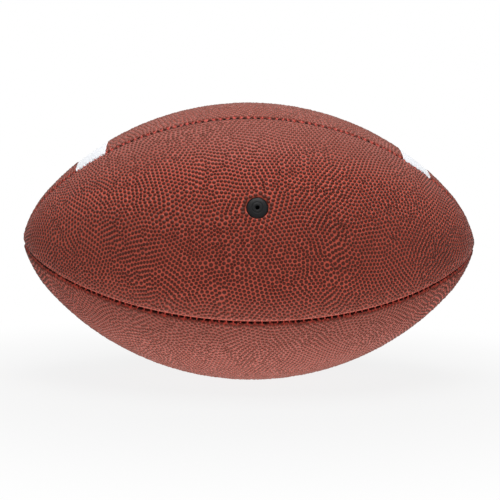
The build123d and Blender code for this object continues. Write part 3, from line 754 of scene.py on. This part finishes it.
def leather_material():
    """Pebbled cover: dark pebble tops in a brick-red network, paler toward the top and bottom of the belly as
    painted sheen, with near-black painted shade in the seam gaps.
    """
    material, nodes, links, shader = new_material("pebbled_cover")
    grain = add_grain(nodes, 1500, 0.25)
    mask = nodes.new("ShaderNodeAttribute")
    mask.attribute_name = "pebble"
    edge = nodes.new("ShaderNodeAttribute")
    edge.attribute_name = "edge"
    chart = nodes.new("ShaderNodeUVMap")
    chart.uv_map = "pebble_chart"
    coords = nodes.new("ShaderNodeTexCoord")

    # Each pebble: a round dark spot for the colour and a dome for the bump
    square = vector_node(nodes, "DOT_PRODUCT")
    spot = ranged(nodes, 0.6, 0.38, smooth=True)
    ramp = math_node(nodes, "MULTIPLY")
    dome = ranged(nodes, 0, 0.67, 1, 0)
    rise = math_node(nodes, "MULTIPLY")
    steep = nodes.new("ShaderNodeBump")
    steep.inputs["Distance"].default_value = 0.36 * MM

    # Painted sheen: the colours turn paler toward the top and the bottom of the belly
    across = vector_node(nodes, "MULTIPLY")
    across.inputs[1].default_value = (0, 1, 1)
    turn = vector_node(nodes, "NORMALIZE")
    upward = nodes.new("ShaderNodeSeparateXYZ")
    tilt = math_node(nodes, "SUBTRACT", 0.1)
    away = math_node(nodes, "ABSOLUTE")
    sheen_band = ranged(nodes, 0.36, 0.72, smooth=True)
    length = nodes.new("ShaderNodeSeparateXYZ")
    outward = math_node(nodes, "ABSOLUTE")
    belly = ranged(nodes, 0.13, 0.07, 0.2, 1)
    painted_sheen_mask = math_node(nodes, "MULTIPLY")

    # Colours
    valley = colour_mix(nodes, linear(191, 80, 63), linear(217, 101, 82))
    tops = colour_mix(nodes, linear(71, 29, 20), linear(91, 40, 28))
    # Paler valley and top colours laid on as painted sheen toward the top and bottom of the belly
    painted_sheen_valley = colour_mix(nodes, second=linear(170, 87, 75))
    painted_sheen_tops = colour_mix(nodes, second=linear(126, 70, 58))
    bare = math_node(nodes, "MULTIPLY", -1.0)
    bare.use_clamp = True
    torn = colour_mix(nodes, second=linear(218, 51, 38))
    # Near-black painted shade in the seam gaps, where the edge attribute is above 0
    rolled = colour_mix(nodes, second=linear(40, 18, 15))
    cover = colour_mix(nodes)
    rough = ranged(nodes, 0, 1, 0.44, 0.5)
    shader.inputs["Specular IOR Level"].default_value = 0.2
    shader.inputs["Sheen Weight"].default_value = 0.12
    shader.inputs["Sheen Roughness"].default_value = 0.35
    shader.inputs["Sheen Tint"].default_value = (1.0, 0.66, 0.56, 1)

    for source, target in (
        (chart.outputs["UV"], square.inputs[0]),
        (chart.outputs["UV"], square.inputs[1]),
        (square.outputs["Value"], spot.inputs["Value"]),
        (spot.outputs["Result"], ramp.inputs[0]),
        (mask.outputs["Fac"], ramp.inputs[1]),
        (square.outputs["Value"], dome.inputs["Value"]),
        (dome.outputs["Result"], rise.inputs[0]),
        (mask.outputs["Fac"], rise.inputs[1]),
        (coords.outputs["Object"], across.inputs[0]),
        (across.outputs["Vector"], turn.inputs[0]),
        (turn.outputs["Vector"], upward.inputs["Vector"]),
        (upward.outputs["Z"], tilt.inputs[0]),
        (tilt.outputs["Value"], away.inputs[0]),
        (away.outputs["Value"], sheen_band.inputs["Value"]),
        (coords.outputs["Object"], length.inputs["Vector"]),
        (length.outputs["X"], outward.inputs[0]),
        (outward.outputs["Value"], belly.inputs["Value"]),
        (sheen_band.outputs["Result"], painted_sheen_mask.inputs[0]),
        (belly.outputs["Result"], painted_sheen_mask.inputs[1]),
        (grain.outputs["Mottle"], valley.inputs[0]),
        (grain.outputs["Mottle"], tops.inputs[0]),
        (painted_sheen_mask.outputs["Value"], painted_sheen_valley.inputs[0]),
        (valley.outputs[2], painted_sheen_valley.inputs[6]),
        (painted_sheen_mask.outputs["Value"], painted_sheen_tops.inputs[0]),
        (tops.outputs[2], painted_sheen_tops.inputs[6]),
        (edge.outputs["Fac"], bare.inputs[0]),
        (bare.outputs["Value"], torn.inputs[0]),
        (painted_sheen_valley.outputs[2], torn.inputs[6]),
        (edge.outputs["Fac"], rolled.inputs[0]),
        (torn.outputs[2], rolled.inputs[6]),
        (ramp.outputs["Value"], cover.inputs[0]),
        (rolled.outputs[2], cover.inputs[6]),
        (painted_sheen_tops.outputs[2], cover.inputs[7]),
        (cover.outputs[2], shader.inputs["Base Color"]),
        (ramp.outputs["Value"], rough.inputs["Value"]),
        (rough.outputs["Result"], shader.inputs["Roughness"]),
        (rise.outputs["Value"], steep.inputs["Height"]),
        (grain.outputs["Normal"], steep.inputs["Normal"]),
        (steep.outputs["Normal"], shader.inputs["Normal"]),
    ):
        links.new(source, target)
    return material


leather = leather_material()
white_film = plain_material("white_stripe", linear(240, 243, 249), linear(250, 252, 255), 0.45, 900, 0.1)
lace_white = plain_material("lace_white", linear(214, 213, 208), linear(234, 233, 229), 0.5, 700, 0.3)
thread_red = plain_material("stitch_thread", linear(161, 43, 32), linear(195, 62, 47), 0.7, 2200, 0.5)
rubber = plain_material("valve_seal_rubber", linear(9, 9, 10), linear(15, 15, 17), 0.55, 1200, 0.3)
rubber.node_tree.nodes["Principled BSDF"].inputs["Specular IOR Level"].default_value = 0.22
cloth = plain_material("lining_cloth", linear(180, 172, 156), linear(205, 198, 184), 0.85, 1600, 0.6)
bladder_rubber = plain_material("bladder_rubber", linear(38, 38, 40), linear(52, 52, 55), 0.55, 400, 0.2)
backing = plain_material("backing_leather", linear(112, 78, 56), linear(140, 100, 74), 0.75, 900, 0.4)

for piece in covers.values():
    piece.data.materials.append(leather)
for piece in stripes.values():
    piece.data.materials.append(white_film)
for piece in threads.values():
    piece.data.materials.append(thread_red)
lace_piece.data.materials.append(lace_white)
boot.data.materials.append(rubber)
core.data.materials.append(rubber)
carried = {
    "lining": cloth,
    "bladder": bladder_rubber,
    "lace_facing": backing,
    "lace_tongue": backing,
    "valve_patch": cloth,
}
for name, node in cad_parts.items():
    for start, material in carried.items():
        if name.startswith(start):
            node.data.materials.clear()
            node.data.materials.append(material)

# Floor, world and lights
FLOOR_GAP = 0.6 * MM
bm = bmesh.new()
bmesh.ops.create_grid(bm, x_segments=1, y_segments=1, size=6.0)
bmesh.ops.translate(bm, verts=bm.verts, vec=(0, 0, -BALL_RADIUS - FLOOR_GAP))
floor = finish_mesh(bm, "floor")
floor.visible_shadow = False


def background_rays(nodes, links):
    """1 for the rays that see the white background: camera, glossy and transmission rays."""
    path = nodes.new("ShaderNodeLightPath")
    shown = math_node(nodes, "MAXIMUM")
    clear = math_node(nodes, "MAXIMUM")
    links.new(path.outputs["Is Camera Ray"], shown.inputs[0])
    links.new(path.outputs["Is Glossy Ray"], shown.inputs[1])
    links.new(shown.outputs["Value"], clear.inputs[0])
    links.new(path.outputs["Is Transmission Ray"], clear.inputs[1])
    return clear.outputs["Value"]


def floor_material():
    """Pale floor that keeps the shadow near the ball and runs out to white."""
    material, nodes, links, shader = new_material("pale_floor")
    shader.inputs["Base Color"].default_value = (0.35, 0.35, 0.35, 1)
    shader.inputs["Roughness"].default_value = 0.9
    coords = nodes.new("ShaderNodeTexCoord")
    size = vector_node(nodes, "LENGTH")
    far = ranged(nodes, 0.12, 0.34, 0.86, 1, smooth=True)
    seen = math_node(nodes, "MULTIPLY")
    white = nodes.new("ShaderNodeEmission")
    mix = nodes.new("ShaderNodeMixShader")
    links.new(coords.outputs["Object"], size.inputs[0])
    links.new(size.outputs["Value"], far.inputs["Value"])
    links.new(far.outputs["Result"], seen.inputs[0])
    links.new(background_rays(nodes, links), seen.inputs[1])
    links.new(seen.outputs["Value"], mix.inputs[0])
    links.new(shader.outputs["BSDF"], mix.inputs[1])
    links.new(white.outputs["Emission"], mix.inputs[2])
    links.new(mix.outputs["Shader"], nodes["Material Output"].inputs["Surface"])
    return material


floor.data.materials.append(floor_material())

world = bpy.data.worlds.new("studio")
bpy.context.scene.world = world
world.use_nodes = True
nodes, links = world.node_tree.nodes, world.node_tree.links
sky = nodes["Background"]
sky.inputs["Color"].default_value = (1, 1, 1, 1)
sky.inputs["Strength"].default_value = 0.03
seen = nodes.new("ShaderNodeBackground")
seen.inputs["Color"].default_value = (1, 1, 1, 1)
seen.inputs["Strength"].default_value = 1.0
mix = nodes.new("ShaderNodeMixShader")
links.new(background_rays(nodes, links), mix.inputs[0])
links.new(sky.outputs["Background"], mix.inputs[1])
links.new(seen.outputs["Background"], mix.inputs[2])
links.new(mix.outputs["Shader"], nodes["World Output"].inputs["Surface"])


def area_light(name, spot, energy, width, depth, glints=True):
    """Soft lamp that faces the ball's centre."""
    data = bpy.data.lights.new(name, "AREA")
    data.energy = energy
    data.shape = "RECTANGLE"
    data.size = width
    data.size_y = depth
    light = bpy.data.objects.new(name, data)
    light.location = spot
    light.visible_glossy = glints
    light.rotation_euler = (Vector((0, 0, 0)) - Vector(spot)).to_track_quat("-Z", "Y").to_euler()
    bpy.context.collection.objects.link(light)


area_light("top_light", (0.0, -0.2, 1.0), 11.8, 0.6, 0.7)
area_light("front_light", (0.0, -1.4, 0.2), 4.3, 0.8, 0.8, False)
area_light("table_light", (0.0, -0.12, -0.58), 6.0, 0.7, 0.6)

# Camera: fitted to the photograph, 500 pixels wide
FRAME_PIXELS = 500
camera_data = bpy.data.cameras.new("camera")
camera = bpy.data.objects.new("camera", camera_data)
bpy.context.collection.objects.link(camera)
bpy.context.scene.camera = camera
azimuth, elevation, roll = math.radians(-2.477), math.radians(2.61), math.radians(0.753)
distance = 0.6796
level = math.cos(elevation)
back = Vector((math.sin(azimuth) * level, -math.cos(azimuth) * level, math.sin(elevation)))
camera.location = back * distance
aim = back.to_track_quat("Z", "Y") @ Matrix.Rotation(roll, 3, "Z").to_quaternion()
camera.rotation_euler = aim.to_euler()
camera_data.sensor_width = 36.0
camera_data.lens = 78.55
camera_data.shift_x = -0.474 / FRAME_PIXELS
camera_data.shift_y = -8.936 / FRAME_PIXELS

bpy.context.scene.view_settings.view_transform = "Standard"

bpy.context.view_layer.update()
